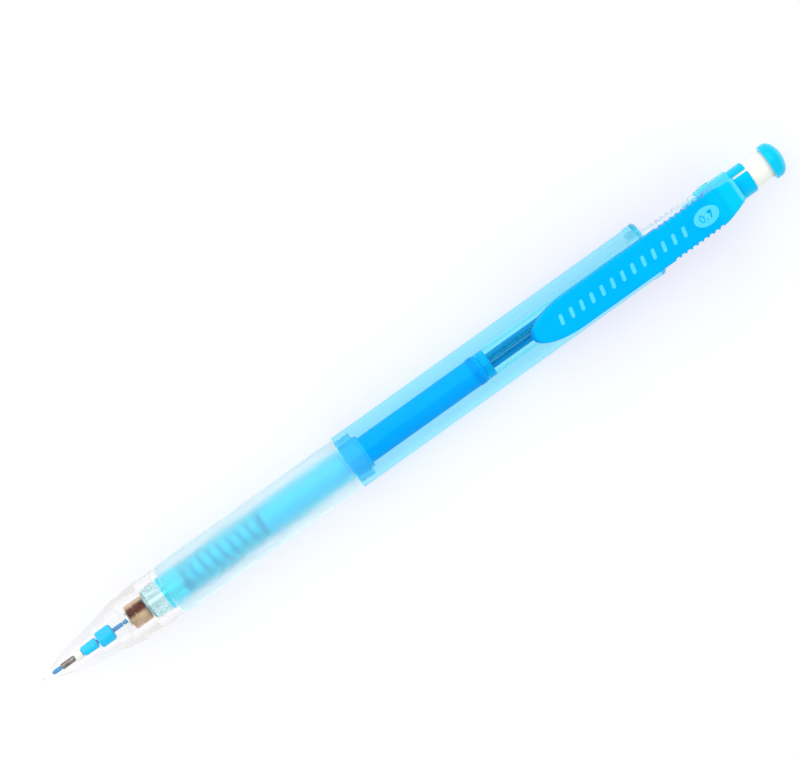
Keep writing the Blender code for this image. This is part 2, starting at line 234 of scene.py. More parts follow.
def reach(tree, direction):
    """How many millimetres a point of the piece lies from the pencil's tip, along direction."""
    where = tree.nodes.new("ShaderNodeTexCoord")
    offset = tree.nodes.new("ShaderNodeVectorMath")
    offset.operation = "SUBTRACT"
    offset.inputs[1].default_value = place(0.0)
    dot = tree.nodes.new("ShaderNodeVectorMath")
    dot.operation = "DOT_PRODUCT"
    dot.inputs[1].default_value = [share / MM for share in Vector(direction).normalized()]
    tree.links.new(where.outputs["Object"], offset.inputs[0])
    tree.links.new(offset.outputs[0], dot.inputs[0])
    return dot.outputs["Value"]


def between(tree, factor, low, high, start=0.3, stop=0.7):
    """factor mapped to the range from low to high."""
    node = tree.nodes.new("ShaderNodeMapRange")
    for name, value in (("From Min", start), ("From Max", stop), ("To Min", low), ("To Max", high)):
        node.inputs[name].default_value = value
    tree.links.new(factor, node.inputs["Value"])
    return node.outputs["Result"]


def blended(tree, factor, one, two, start=0.3, stop=0.7):
    """A colour that turns from one into two as factor goes from start to stop.

    one may be another node's output.
    """
    node = tree.nodes.new("ShaderNodeMix")
    node.data_type = "RGBA"
    if isinstance(one, tuple):
        node.inputs["A"].default_value = (*one, 1.0)
    else:
        tree.links.new(one, node.inputs["A"])
    node.inputs["B"].default_value = (*two, 1.0)
    tree.links.new(between(tree, factor, 0.0, 1.0, start, stop), node.inputs["Factor"])
    return node.outputs["Result"]


def add_bump(tree, shader, height, depth):
    """A bump of depth millimetres."""
    node = tree.nodes.new("ShaderNodeBump")
    node.inputs["Strength"].default_value = 1.0
    node.inputs["Distance"].default_value = depth * MM
    tree.links.new(height, node.inputs["Height"])
    tree.links.new(node.outputs["Normal"], shader.inputs["Normal"])


def moulded(
    name, slot, dark, light, roughness, specular=0.5, grain=0.25, bump=0.002, scatter=0.0,
    sheen=WHITE, sides=None, fades=(),
):
    """Solid moulded plastic: a faint mottle, uneven gloss and a fine grain of bump millimetres.

    Its reflections have the sheen's colour. sides is (colour, start, stop): the plastic turns to this colour
    between two heights over the axis. Each fade does the same between two stations.
    """
    material, tree, shader = start_material(name, slot)
    mottle = noise(tree, 2.5, stretch=(2, 1, 1))
    colour = blended(tree, mottle, dark, light)
    if sides:
        deeper, start, stop = sides
        colour = blended(tree, reach(tree, (0, 0, 1)), colour, deeper, start, stop)
    for faded, start, stop in fades:
        colour = blended(tree, reach(tree, (1, 0, 0)), colour, faded, start, stop)
    tree.links.new(colour, shader.inputs["Base Color"])
    shader.inputs["Specular Tint"].default_value = (*sheen, 1.0)
    gloss = noise(tree, 0.9, stretch=(4, 1, 1), detail=5.0)
    tree.links.new(between(tree, gloss, roughness * 0.75, roughness * 1.35), shader.inputs["Roughness"])
    shader.inputs["Specular IOR Level"].default_value = specular
    shader.inputs["Subsurface Weight"].default_value = scatter
    shader.inputs["Subsurface Radius"].default_value = (0.3, 0.8, 1.0)
    shader.inputs["Subsurface Scale"].default_value = 0.5 * MM
    add_bump(tree, shader, noise(tree, grain), bump)
    return material


def see_through(
    name, slot, absorbed, roughness=0.02, ior=1.49, tint=WHITE, clear=1.0, bump=0.0005, grain=1.6,
    sheen=WHITE, shade=(0.99, 0.99, 1.0), trapped=2,
):
    """Clear plastic that lets lamps through, coloured by what it absorbs in each millimetre.

    clear is the share of light that goes through, and the rest scatters in the tint's colour, as in frosted
    rubber. Its reflections have the sheen's colour, and each surface colours the light that falls through it by
    shade. Light that has been reflected as many times as trapped says goes straight through, or else it would
    die in the walls and leave them black.
    """
    material, tree, shader = start_material(name, slot)
    nodes, links = tree.nodes, tree.links
    shader.inputs["Base Color"].default_value = (*tint, 1.0)
    shader.inputs["Transmission Weight"].default_value = clear
    shader.inputs["IOR"].default_value = ior
    shader.inputs["Specular Tint"].default_value = (*sheen, 1.0)
    gloss = noise(tree, 1.2, stretch=(5, 1, 1), detail=4.0)
    links.new(between(tree, gloss, roughness * 0.7, roughness * 1.4), shader.inputs["Roughness"])
    add_bump(tree, shader, noise(tree, grain, stretch=(3, 1, 1)), bump)
    surface = shader.outputs["BSDF"]
    rays = nodes.new("ShaderNodeLightPath")
    leaving = between(tree, rays.outputs["Glossy Depth"], 0.0, 1.0, trapped - 1, trapped)
    for bypass in (rays.outputs["Is Diffuse Ray"], rays.outputs["Is Shadow Ray"], leaving):
        straight = nodes.new("ShaderNodeBsdfTransparent")
        straight.inputs["Color"].default_value = (*shade, 1.0)
        chosen = nodes.new("ShaderNodeMixShader")
        links.new(bypass, chosen.inputs["Fac"])
        links.new(surface, chosen.inputs[1])
        links.new(straight.outputs[0], chosen.inputs[2])
        surface = chosen.outputs[0]
    output = nodes["Material Output"]
    links.new(surface, output.inputs["Surface"])
    density = max(absorbed)
    if density:
        inside = nodes.new("ShaderNodeVolumeAbsorption")
        inside.inputs["Density"].default_value = density / MM
        inside.inputs["Color"].default_value = (*[1 - share / density for share in absorbed], 1.0)
        links.new(inside.outputs[0], output.inputs["Volume"])
    return material


def metal(name, slot, dark, light, roughness, lay, painted_reflection=None):
    """Machined metal with fine tool marks that run round or along it.

    The optional last argument is (colour, direction, start, stop): a painted dark reflection that takes over
    the colour between two distances in a direction.
    """
    material, tree, shader = start_material(name, slot)
    shader.inputs["Metallic"].default_value = 1.0
    marks = noise(tree, 0.12, stretch=lay, detail=4.0)
    colour = blended(tree, noise(tree, 1.2), dark, light)
    if painted_reflection:
        reflection_colour, direction, start, stop = painted_reflection
        colour = blended(tree, reach(tree, direction), colour, reflection_colour, start, stop)
    tree.links.new(colour, shader.inputs["Base Color"])
    tree.links.new(between(tree, marks, roughness * 0.7, roughness * 1.5), shader.inputs["Roughness"])
    add_bump(tree, shader, marks, 0.003)
    return material


CLEAR = see_through(
    "clear_moulding", "clear_plastic", absorbed=(0.006, 0.008, 0.016), roughness=0.04, ior=1.44,
    sheen=(0.5, 0.4, 0.4),
)
NECK_CLEAR = see_through(
    "clear_neck", "clear_plastic", absorbed=(0.05, 0.012, 0.006), roughness=0.08, ior=1.38
)
# The thread is a paler copy of the core's plastic: its paleness is painted light, standing in for the light
# that the thread's crests scatter.
THREAD = see_through(
    "pale_thread", "core_plastic", absorbed=(0.06, 0.004, 0.0), roughness=0.1, ior=1.36,
    tint=(0.88, 1.0, 1.0), clear=0.85,
)
PIPE_CLEAR = see_through(
    "clear_pipe", "clear_plastic", absorbed=(0.22, 0.01, 0.0), sheen=(0.05, 0.9, 1.0), shade=BLUE_SHADE
)
PIPE_MILKY = see_through(
    "milky_pipe", "clear_plastic", absorbed=(0.3, 0.02, 0.0), roughness=0.3,
    tint=(0.0, 0.60, 0.99), clear=0.5, sheen=BLUE_SHEEN, shade=BLUE_SHADE,
)
TINTED = see_through(
    "tinted_barrel", "tinted_plastic", absorbed=(0.66, 0.10, 0.010),
    sheen=BLUE_SHEEN, shade=BLUE_SHADE, trapped=3,
)
RIM = see_through(
    "tinted_rim", "tinted_plastic", absorbed=(0.5, 0.07, 0.014), roughness=0.12,
    sheen=BLUE_SHEEN, shade=BLUE_SHADE, trapped=3,
)
CROWN_TINT = see_through(
    "tinted_crown", "tinted_plastic", absorbed=(0.50, 0.04, 0.002), roughness=0.05,
    tint=(0.25, 0.92, 1.0), clear=0.78, sheen=BLUE_SHEEN, shade=BLUE_SHADE,
)
CORE = see_through(
    "tinted_core", "core_plastic", absorbed=(0.7, 0.02, 0.0), roughness=0.05,
    tint=(0.30, 0.92, 1.0), clear=0.85, sheen=BLUE_SHEEN, shade=BLUE_SHADE,
)
COLLAR_TINT = see_through(
    "tinted_collar", "core_plastic", absorbed=(0.25, 0.04, 0.0), roughness=0.08, ior=1.2,
    tint=(0.5, 0.86, 1.0), clear=0.85, bump=0.0, sheen=BLUE_SHEEN, shade=BLUE_SHADE,
)
FROSTED = see_through(
    "frosted_grip", "grip_rubber", absorbed=(0.015, 0.001, 0.0), roughness=0.45, ior=1.34,
    tint=(0.95, 1.0, 1.0), clear=0.97, bump=0.008, grain=0.12, sheen=(0.4, 0.9, 1.0),
)
CLIP_BLUE = moulded(
    "clip_moulding", "clip_plastic", (0.0, 0.46, 0.94), (0.0, 0.49, 0.98), roughness=0.35, specular=0.2,
    # The clip's sides, below its face, turn dark blue: a painted shade on its edges.
    sheen=BLUE_SHEEN, sides=((0.0, 0.27, 0.76), 6.5, 6.25),
    # Its sloping rear turns lighter, a painted highlight where it faces the light, and its very end lighter
    # still, another painted highlight.
    fades=[((0.0, 0.64, 0.97), 127.0, 130.5), ((0.10, 0.74, 0.98), 132.2, 132.6)],
)
BUTTON_BLUE = moulded(
    "button_moulding", "clip_plastic", (0.0, 0.57, 0.95), (0.0, 0.61, 0.98), roughness=0.3, specular=0.3,
    scatter=0.15, sheen=BLUE_SHEEN,
)
CAP_BLUE = moulded(
    "cap_moulding", "clip_plastic", (0.0, 0.58, 0.90), (0.0, 0.63, 0.95), roughness=0.12, scatter=0.3,
    # The dome's end turns a lighter cyan: a painted highlight.
    sheen=(0.2, 1.0, 1.0), fades=[((0.0, 0.72, 0.90), 140.7, 141.7)],
)
TUBE_BLUE = moulded(
    "coupler_moulding", "tube_plastic", (0.0, 0.40, 0.96), (0.0, 0.44, 0.99), roughness=0.45, specular=0.12,
    sheen=BLUE_SHEEN, fades=[((0.0, 0.33, 0.84), 82.3, 82.9), ((0.0, 0.42, 0.97), 83.5, 83.9)],
)
# The stem is painted lighter than its plastic where it runs inside the spring, painted light that lifts the
# shade there; behind the spring's seat it turns a darker blue, and darker still just before the coupler.
STEM_BLUE = moulded(
    "stem_moulding", "core_plastic", (0.06, 0.74, 0.98), (0.08, 0.78, 1.0), roughness=0.4, specular=0.2,
    sheen=BLUE_SHEEN, fades=[((0.0, 0.58, 0.96), 41.8, 42.6), ((0.0, 0.34, 0.96), 57.4, 58.0)],
)
RETAINER = moulded(
    "retainer_rubber", "retainer_rubber", (0.0, 0.57, 0.94), (0.0, 0.62, 0.98), roughness=0.6, specular=0.12,
    bump=0.004, sheen=BLUE_SHEEN,
)
BUSH = moulded(
    "bush_moulding", "bush_plastic", (0.93, 0.90, 0.78), (0.97, 0.95, 0.86), roughness=0.45, scatter=0.2
)
ERASER = moulded(
    "eraser_rubber", "eraser_rubber", (0.95, 0.94, 0.80), (0.99, 0.99, 0.88), roughness=0.75, specular=0.3,
    # The eraser's end under the cap turns grey: a painted shadow cast by the cap.
    grain=0.12, bump=0.012, scatter=0.2, fades=[((0.58, 0.64, 0.60), 138.6, 139.5)],
)
LEAD = moulded(
    "colour_lead", "lead_blue", (0.0, 0.18, 0.50), (0.0, 0.25, 0.62), roughness=0.5, specular=0.15,
    grain=0.08, bump=0.004, sheen=BLUE_SHEEN,
)
RUBBED_LEAD = moulded(
    "rubbed_lead", "lead_blue", (0.06, 0.28, 0.56), (0.10, 0.36, 0.68), roughness=0.5, specular=0.15,
    grain=0.08, bump=0.004, sheen=BLUE_SHEEN,
)
WIRE = moulded(
    "lacquered_wire", "steel", (0.0, 0.08, 0.42), (0.0, 0.11, 0.48), roughness=0.35, specular=0.2,
    sheen=BLUE_SHEEN,
)
PRINT = moulded(
    "pale_print", "clip_plastic", (0.09, 0.68, 0.97), (0.11, 0.72, 0.99), roughness=0.4, specular=0.2,
    sheen=BLUE_SHEEN,
)
# The brass ring's top is painted dark: a painted reflection of a dark surround in polished metal.
BRASS = metal(
    "turned_brass", "brass", (0.50, 0.33, 0.19), (0.74, 0.56, 0.38), roughness=0.32, lay=(8, 1, 1),
    painted_reflection=((0.05, 0.006, 0.001), (0, 0.50, 1), 1.86, 2.03),
)
# The jaws' pale colour is painted light: it stands in for the light that the nose's thread around them
# scatters.
JAW_METAL = metal(
    "jaw_brass_painted_pale", "brass", (0.80, 0.86, 0.85), (0.90, 0.95, 0.95), roughness=0.3, lay=(1, 8, 8)
)
STEEL = metal("dark_steel", "steel", (0.16, 0.13, 0.12), (0.30, 0.26, 0.24), roughness=0.3, lay=(1, 1, 8))
WASHER = metal("washer_steel", "steel", (0.42, 0.48, 0.46), (0.60, 0.66, 0.64), roughness=0.3, lay=(1, 1, 8))


# ---- the nose and what it holds ----

CORE_R = 2.85  # radius of the tube under the grip
THREAD_PITCH = 0.8
THREAD_FRONT = 20.5
THREAD_REAR = 23.1
THREAD_STEP = THREAD_PITCH / 12  # between the stations that carry the thread
LEAD_HOLE = 0.42  # radius of the hole through the nose, the bush and the retainers


def helix(station, angle):
    """0 to 1 across each turn of the right-handed thread, highest at its crest."""
    phase = (station / THREAD_PITCH + angle / (2 * math.pi)) % 1.0
    return eased(1.6 * (1 - abs(2 * phase - 1)) - 0.2)


def thread_run(station):
    """How much of the thread's depth there is, which fades out at its two ends."""
    return eased((station - THREAD_FRONT) / 0.5) * eased((THREAD_REAR - station) / 0.4)


def make_nose():
    """Clear nose with a long ogive outside and a bore that steps down from the thread to the lead's hole."""
    rear = ends("nose_cone")[1]
    knots = [(0.0, 0.60), (1.9, 0.88), (3.6, 1.48), (5.2, 1.97), (9.6, 2.84), (13.0, 3.44)]
    knots += [(15.4, 3.97), (17.7, 4.38), (19.9, 4.51), (22.3, 4.38), (rear, 4.22)]
    outside = [(s, curve_through(knots, s)) for s in steps_between(0.12, rear, 0.3)]
    thread_bore, thread_end = CORE_R + 2 * FIT, 20.0
    ring_room, block_room, plug_room, sleeve_room = 1.85, 1.50, 1.00, 0.60
    bore = [(rear, thread_bore + 0.1), (rear - 0.15, thread_bore)]
    bore += [(s, thread_bore) for s in reversed(steps_between(thread_end + 0.2, rear - 0.3, THREAD_STEP))]
    bore += [(thread_end, thread_bore - 0.05), (thread_end, 2.25), (15.7, 2.25), (15.45, ring_room + 0.1)]
    bore += [(13.55, ring_room), (13.55, block_room), (10.45, block_room), (10.45, plug_room)]
    bore += [(6.05, plug_room), (6.05, sleeve_room), (3.5, sleeve_room), (3.5, LEAD_HOLE), (0.0, LEAD_HOLE)]
    outline = [(0.0, LEAD_HOLE + 0.06), *outside, *softened(bore, 0.04, 2)]

    def female_thread(s, r, angle):
        inside = thread_bore - 0.02 < r < thread_bore + 0.02
        return r - 0.06 * helix(s + THREAD_PITCH / 2, angle) * thread_run(s) if inside else r

    add_piece("nose_shell", lathe(outline, relief=female_thread), CLEAR, "nose_cone")


def make_nose_insert():
    """Steel guide in the nose's tip, its bush, and two soft plugs that keep the lead from falling back."""
    front, rear = ends("lead_sleeve")
    bore, outer = 0.38, 0.5
    sleeve = [(front, bore), (front, outer - 0.03), (front + 0.06, outer), (rear, outer), (rear, bore)]
    add_piece("lead_guide", lathe(softened(sleeve, 0.02), SMALL_ROUND), STEEL, "lead_sleeve")
    front, rear = ends("sleeve_bush")
    bush = [(front, LEAD_HOLE), (front, 0.78), (front + 0.1, 0.85), (rear - 0.3, 0.85)]
    bush += [(rear - 0.25, 0.78), (rear, 0.76), (rear, LEAD_HOLE)]
    add_piece("guide_bush", lathe(softened(bush, 0.05), SMALL_ROUND), BUSH, "sleeve_bush")
    front, rear = ends("retainer_cone")
    cone = [(front, LEAD_HOLE), (front, 0.62), (front + 0.4, 0.82)]
    cone += [(rear - 0.45, 0.90), (rear, 0.82), (rear, LEAD_HOLE)]
    add_piece("retainer_plug", lathe(softened(cone, 0.12, 5), SMALL_ROUND), RETAINER, "retainer_cone")
    front, rear = ends("lead_retainer")
    block = [(front, LEAD_HOLE), (front, 1.15), (front + 0.25, 1.37)]
    block += [(rear - 0.25, 1.37), (rear, 1.15), (rear, LEAD_HOLE)]
    add_piece("retainer_block", lathe(softened(block, 0.16, 5), SMALL_ROUND), RETAINER, "lead_retainer")


# ---- the chuck and the plunger ----

PIPE_R = 2.3
PIPE_BORE = 1.5


def make_clutch():
    """Brass ring with a fine groove and a flared mouth that closes the jaws, and the washer behind it."""
    front, rear = ends("clutch_ring")
    bore, mouth, outer, groove, bevel = 1.26, 1.50, 2.08, 2.03, 0.16
    ring = [(front, mouth), (front, outer - bevel), (front + bevel, outer), (front + 1.05, outer)]
    ring += [(front + 1.12, groove), (front + 1.3, groove), (front + 1.37, outer), (rear - bevel, outer)]
    ring += [(rear, outer - bevel), (rear, bore), (front + 0.3, bore)]
    add_piece("clutch_collar", lathe(softened(ring, 0.04)), BRASS, "clutch_ring")
    front, rear = ends("ring_seat")
    bore, outer = 1.35, 2.38
    seat = [(front, bore), (front, outer), (rear, outer), (rear, bore)]
    add_piece("clutch_washer", lathe(softened(seat, 0.05)), WASHER, "ring_seat")


def make_jaws():
    """Three jaws of a slit chuck: a flared head, a neck, and fine teeth that grip the lead."""
    slit, bore, tooth, tooth_step, arc_steps = math.radians(14), 0.38, 0.03, 0.1, 16
    for k in range(3):
        node = f"chuck_jaw_{k + 1}"
        front, rear = ends(node)
        head = front + 2.2
        knots = [(front, 1.12), (front + 0.15, 1.29), (front + 0.5, 1.19), (front + 1.3, 1.0), (head, 0.85)]
        stations = steps_between(front, head, tooth_step) + steps_between(head + 0.5, rear, 0.8)
        middle, half = 2 * math.pi * k / 3, math.pi / 3 - slit / 2
        angles = [middle - half + 2 * half * j / arc_steps for j in range(arc_steps + 1)]
        sections = []
        for s in stations:
            outer = curve_through(knots, s)
            inner = bore + tooth * (round(s / tooth_step) % 2 if s < head else 0)
            section = [around(s, outer, a) for a in angles]
            section += [around(s, inner, a) for a in reversed(angles)]
            sections.append(section)
        add_piece(f"jaw_finger_{k + 1}", loft(sections), JAW_METAL, node)


def make_stem():
    """Tube behind the jaws: thin inside the spring, then a collar that it pushes on and a grooved rear."""
    front, rear = ends("chuck_stem")
    collar = ends("main_spring")[1] + FIT
    coupler = ends("pipe_coupler")[0] - FIT
    bore, thin, tube, groove, seat, plug = 0.5, 1.2, 1.90, 1.80, 2.15, 1.55
    collar_rear, groove_front = 43.7, 50.0
    outline = [(front, bore), (front, thin - 0.1), (front + 0.3, thin), (collar, thin), (collar, seat)]
    outline += [(collar_rear, seat), (collar_rear, tube), (groove_front, tube), (groove_front + 0.1, groove)]
    outline += [(groove_front + 0.6, groove), (groove_front + 0.7, tube), (coupler, tube)]
    outline += [(coupler, plug), (rear, plug), (rear, plug - 0.25), (rear - 1.2, bore)]
    add_piece("stem_tube", lathe(softened(outline), SMALL_ROUND), STEM_BLUE, "chuck_stem")


def make_spring():
    """Lacquered coil with a closed turn at each end; in the real pencil it shortens as the button is pressed.
    """
    front, rear = ends("main_spring")
    turns, coil_r, wire_r, per_turn, sides = 10, 1.84, 0.21, 40, 12
    start, stop = front + wire_r, rear - wire_r
    closed = 2 * wire_r + 0.02  # a closed turn's pitch
    active = (stop - start - 2 * closed) / (turns - 2)
    sections = []
    for k in range(turns * per_turn + 1):
        turn = k / per_turn
        body = min(max(turn - 1, 0.0), turns - 2.0)
        shut = min(turn, 1.0) + max(turn - turns + 1, 0.0)
        s, angle = start + body * active + shut * closed, 2 * math.pi * turn
        section = [(s + wire_r * math.sin(a), coil_r + wire_r * math.cos(a)) for a in circle(sides)]
        sections.append([around(station, radius, angle) for station, radius in section])
    spring = add_piece("coil_spring", loft(sections), WIRE, "main_spring")
    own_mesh(spring)


def make_coupler():
    """Blue tube with a low bead near its rear. The stem's plug sits in its front and the pipe in its rear."""
    front, rear = ends("pipe_coupler")
    outer, bead = PIPE_R, PIPE_R + 0.11
    plug_end, plug_room, pipe_front, pipe_room = front + 3.1, 1.65, rear - 3.8, 1.90
    outline = [(front, plug_room), (front, outer), (rear - 1.65, outer), (rear - 1.55, bead)]
    outline += [(rear - 0.6, bead), (rear - 0.5, outer), (rear, outer), (rear, pipe_room)]
    outline += [(pipe_front, pipe_room), (pipe_front, PIPE_BORE), (plug_end, PIPE_BORE), (plug_end, plug_room)]
    add_piece("coupler_tube", lathe(softened(outline), SMALL_ROUND), TUBE_BLUE, "pipe_coupler")


def make_pipe():
    """Clear pipe with a milky blue mouth, where it is pressed into the coupler."""
    front, rear = ends("lead_pipe")
    lip = ends("pipe_coupler")[1] + FIT
    clear_from = lip + 1.3
    mouth = [(front, PIPE_BORE), (front, 1.8), (lip, 1.8)]
    mouth += [(lip, PIPE_R), (clear_from, PIPE_R), (clear_from, PIPE_BORE)]
    add_piece("pipe_mouth", lathe(softened(mouth, 0.05), SMALL_ROUND), PIPE_MILKY, "lead_pipe")
    front = clear_from + SEAM
    waist_front, waist = 112.0, 1.95
    outline = [(front, PIPE_BORE), (front, PIPE_R), (waist_front, PIPE_R), (waist_front + 0.3, waist)]
    outline += [(rear, waist), (rear, PIPE_BORE)]
    add_piece("storage_pipe", lathe(softened(outline, 0.02), SMALL_ROUND), PIPE_CLEAR, "lead_pipe")


def make_leads():
    """The lead in use, with a worn point, and the five spare leads beside each other in the pipe."""
    front, rear = ends("lead")
    radius, bevel, facets = 0.35, 0.04, 32
    worn = [(front, 0.0), (front, 0.16), (front + 0.1, 0.25), (front + 0.45, radius)]
    worn += [(rear, radius), (rear, 0.0)]
    add_piece("lead_in_use", lathe(softened(worn, 0.05), facets), RUBBED_LEAD, "lead")
    for k in range(5):
        node = f"spare_lead_{k + 1}"
        front, rear = ends(node)
        low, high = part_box(node)
        rod = [(front, 0.0), (front, radius - bevel), (front + bevel, radius)]
        rod += [(s, radius) for s in steps_between(front + 1, rear - 1, 6.0)]
        rod += [(rear - bevel, radius), (rear, radius - bevel), (rear, 0.0)]
        shape = lathe(rod, facets)
        centre = (low + high) / 2
        bmesh.ops.translate(shape, verts=shape.verts[:], vec=(0, centre.y, centre.z - AXIS_Z))
        add_piece(f"spare_rod_{k + 1}", shape, LEAD, node)


# ---- the grip and the barrel ----

BARREL_BORE = 4.0


def make_grip_core():
    """Tinted tube under the grip. The nose's rolled thread in front of it is paler than the rest, a paleness
    painted in for the light that the thread scatters.
    """
    front, rear = ends("grip_core")
    root, bore, stem_hole = CORE_R - 0.25, CORE_R - 0.45, 1.30
    rim, rim_rear, spring_stop = THREAD_REAR + 0.1, 24.9, 26.5
    thread = [(front, stem_hole), (front, root - 0.1)]
    thread += [(s, root) for s in steps_between(THREAD_FRONT, THREAD_REAR, THREAD_STEP)]
    thread += [(rim, root), (rim, stem_hole)]

    def male_thread(s, r, angle):
        return r + 0.24 * helix(s, angle) * thread_run(s) if abs(r - root) < TINY else r

    add_piece("core_thread", lathe(softened(thread, 0.04, 2), relief=male_thread), THREAD, "grip_core")
    rim += SEAM
    tube = [(rim, stem_hole), (rim, CORE_R + 0.05), (rim_rear - 0.05, CORE_R + 0.05), (rim_rear, CORE_R)]
    tube += [(rear, CORE_R), (rear, bore), (spring_stop, bore), (spring_stop, stem_hole)]
    add_piece("core_tube", lathe(softened(tube, 0.05, 2)), CORE, "grip_core")


def make_grip():
    """Frosted sleeve with a rounded front lip and a square rear that meets the barrel."""
    front, rear = ends("grip")
    bore, outer = CORE_R + 0.05 + FIT, 4.36
    outline = [(front, bore), (front, outer - 0.25), (front + 0.5, outer), (rear - 0.25, outer)]
    outline += [(rear, outer - 0.12), (rear, bore)]
    fine, step = [], 3.0
    for (s0, r0), (s1, r1) in zip(outline, outline[1:] + outline[:1]):
        count = max(1, round(abs(s1 - s0) / step))
        fine += [(s0 + (s1 - s0) * k / count, r0 + (r1 - r0) * k / count) for k in range(count)]
    add_piece("grip_sleeve", lathe(softened(fine, 0.12, 4)), FROSTED, "grip")


def make_collar():
    """Grooved ring that joins the tube under the grip to the barrel."""
    front, rear = ends("joint_collar")
    inside, outside, groove = CORE_R + FIT, BARREL_BORE - 0.12, BARREL_BORE - 0.24
    outline = [(front, inside), (front, outside), (front + 0.9, outside), (front + 1.0, groove)]
    outline += [(front + 1.3, groove), (front + 1.4, outside), (rear, outside), (rear, inside)]
    add_piece("barrel_collar", lathe(softened(outline)), COLLAR_TINT, "joint_collar")


def make_barrel():
    """Long tinted tube. Its rear has a low bead and an end wall, and its underside lies on the floor."""
    front, rear = ends("barrel")
    outer, neck_hole = AXIS_Z / MM, 3.05
    bead, wall = outer + 0.14, rear - 0.85
    outline = [(front, BARREL_BORE), (front, outer), *[(s, outer) for s in steps_between(front + 4, 112, 6)]]
    outline += [(rear - 2.3, outer), (rear - 1.7, bead), (wall, bead), (wall, BARREL_BORE)]
    wall += SEAM
    rim = [(wall, neck_hole), (wall, bead), (rear - 0.35, bead), (rear, outer - 0.15), (rear, neck_hole)]
    for name, shape, material in (
        ("barrel_tube", lathe(softened(outline, 0.1, 4)), TINTED),
        ("barrel_rim", lathe(softened(rim, 0.1, 4)), RIM),
    ):
        for vert in shape.verts:
            vert.co.z = max(vert.co.z, 0.0)
        add_piece(name, shape, material, "barrel")


# ---- the rear end ----

RIB_COUNT = 7
RIB_PITCH = 1.05
RIB_START = 119.0
GUIDE_BORE = 2.05  # radius of the hole that the pipe slides in
SPIGOT_ROOM = 2.5  # radius of the neck's socket for the crown


def make_neck():
    """Clear ribbed sleeve, held by a flange inside the barrel's end wall."""
    front, rear = ends("neck")
    outer, groove, flange, flange_rear, socket = 2.92, 2.72, BARREL_BORE - 0.12, front + 1.35, 124.1
    outline = [(front, GUIDE_BORE), (front, flange), (flange_rear, flange), (flange_rear, outer)]
    for k in range(RIB_COUNT):
        start = RIB_START + RIB_PITCH * k
        outline += [(start, outer), (start + 0.18, groove), (start + 0.5, groove), (start + 0.68, outer)]
    outline += [(rear, outer), (rear, SPIGOT_ROOM), (socket, SPIGOT_ROOM), (socket, GUIDE_BORE)]
    add_piece("neck_tube", lathe(softened(outline, 0.07)), NECK_CLEAR, "neck")


def make_crown():
    """Tinted ring with a spigot in the neck. It guides the knock button and carries the clip's foot."""
    front, rear = ends("crown")
    shoulder = ends("neck")[1] + FIT
    spigot, button_room, button_front = SPIGOT_ROOM - FIT, 2.76, 127.9
    ring, bead, tail = 3.02, 3.22, 3.0
    outline = [(front, GUIDE_BORE), (front, spigot), (shoulder, spigot), (shoulder, ring), (127.6, ring)]
    outline += [(128.5, bead), (129.6, bead), (130.3, tail), (rear, tail), (rear, button_room)]
    outline += [(button_front, button_room), (button_front, GUIDE_BORE)]
    add_piece("crown_ring", lathe(softened(outline, 0.12, 4)), CROWN_TINT, "crown")


CLIP_FRONT, CLIP_REAR = ends("clip")
CLIP_TOP = 6.7  # height of its face over the axis
CLIP_CROWN = 0.06  # how much its middle stands over its edges
CLIP_HALF_WIDTH = 3.03
CLIP_TAPER = 126.0  # where its sides start to close in
CLIP_FOOT = 126.85  # where its foot on the crown starts
CLIP_SLOPE = 128.0  # where its face starts to fall
NOTCH_COUNT = 9
NOTCH_START = 118.9
NOTCH_PITCH = 1.06
NOTCH_DEPTH = 0.24


def clip_half_width(s):
    """Half the clip's width: a rounded front, straight sides with a row of notches, and a tapered rear."""
    front_round = 8.0
    ahead = (CLIP_FRONT - 0.12 + front_round - s) / front_round
    if ahead > 0:
        return CLIP_HALF_WIDTH * math.sqrt(max(0.0, 1 - ahead**2))
    width = CLIP_HALF_WIDTH * (1 - 0.36 * max(0.0, (s - CLIP_TAPER) / (CLIP_REAR - CLIP_TAPER)) ** 2)
    turn = (s - NOTCH_START) / NOTCH_PITCH
    if -0.5 < turn < NOTCH_COUNT - 0.5:
        width -= NOTCH_DEPTH * eased(2.2 - 6 * abs(turn - round(turn)))
    return width


def clip_top(s):
    """Height of the clip's edge over the axis."""
    knots = [(CLIP_FRONT, 6.0), (CLIP_FRONT + 0.6, 6.38), (CLIP_FRONT + 1.6, 6.62)]
    knots += [(CLIP_FRONT + 3, CLIP_TOP), (CLIP_SLOPE, CLIP_TOP)]
    knots += [(CLIP_SLOPE + 1.2, 6.36), (CLIP_SLOPE + 3, 5.53), (CLIP_REAR, 4.5)]
    return curve_through(knots, s)


def clip_under(s):
    """Height of the clip's underside, with a ridge that presses on the barrel and a foot on the crown."""
    ridge, foot = CLIP_FRONT + 2.45, 3.45
    under = 5.3 + 0.12 * (1 - eased(s - CLIP_FRONT))
    under -= 0.45 * eased(2.2 - 2.2 * abs(s - ridge))
    return under + (foot - under) * eased((s - CLIP_FOOT) / 0.15)


def clip_surface(s, y):
    """Height of the clip's face over the axis, y to the side of its middle."""
    return clip_top(s) + CLIP_CROWN * max(0.0, 1 - (y / CLIP_HALF_WIDTH) ** 2)


